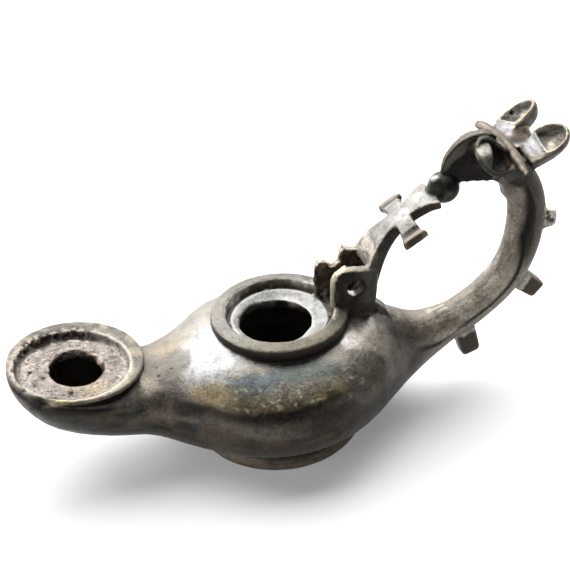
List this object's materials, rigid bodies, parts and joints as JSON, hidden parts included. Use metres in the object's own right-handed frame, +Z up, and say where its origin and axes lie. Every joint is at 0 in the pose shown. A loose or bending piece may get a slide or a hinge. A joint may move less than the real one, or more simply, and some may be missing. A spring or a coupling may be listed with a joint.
{
  "type": "bronze oil lamp",
  "caption": "Cast bronze oil lamp: hollow round body on a ring foot, wide nozzle, hinge lugs, a cross and a loop handle ending in a beaked head.",
  "frame": {"origin": "centre of the bounding box at its base, on the plane the foot ring stands on", "axes": "+X from the nozzle towards the handle, +Y to the side away from the whole hinge lug, +Z up"},
  "size_m": [0.1688, 0.0712, 0.0903],
  "materials": {
    "bronze": "old cast bronze, grey-brown and olive patina, worn to a soft gloss, pitted"
  },
  "bodies": {
    "root": {"lamp": "bronze"}
  },
  "joints": []
}
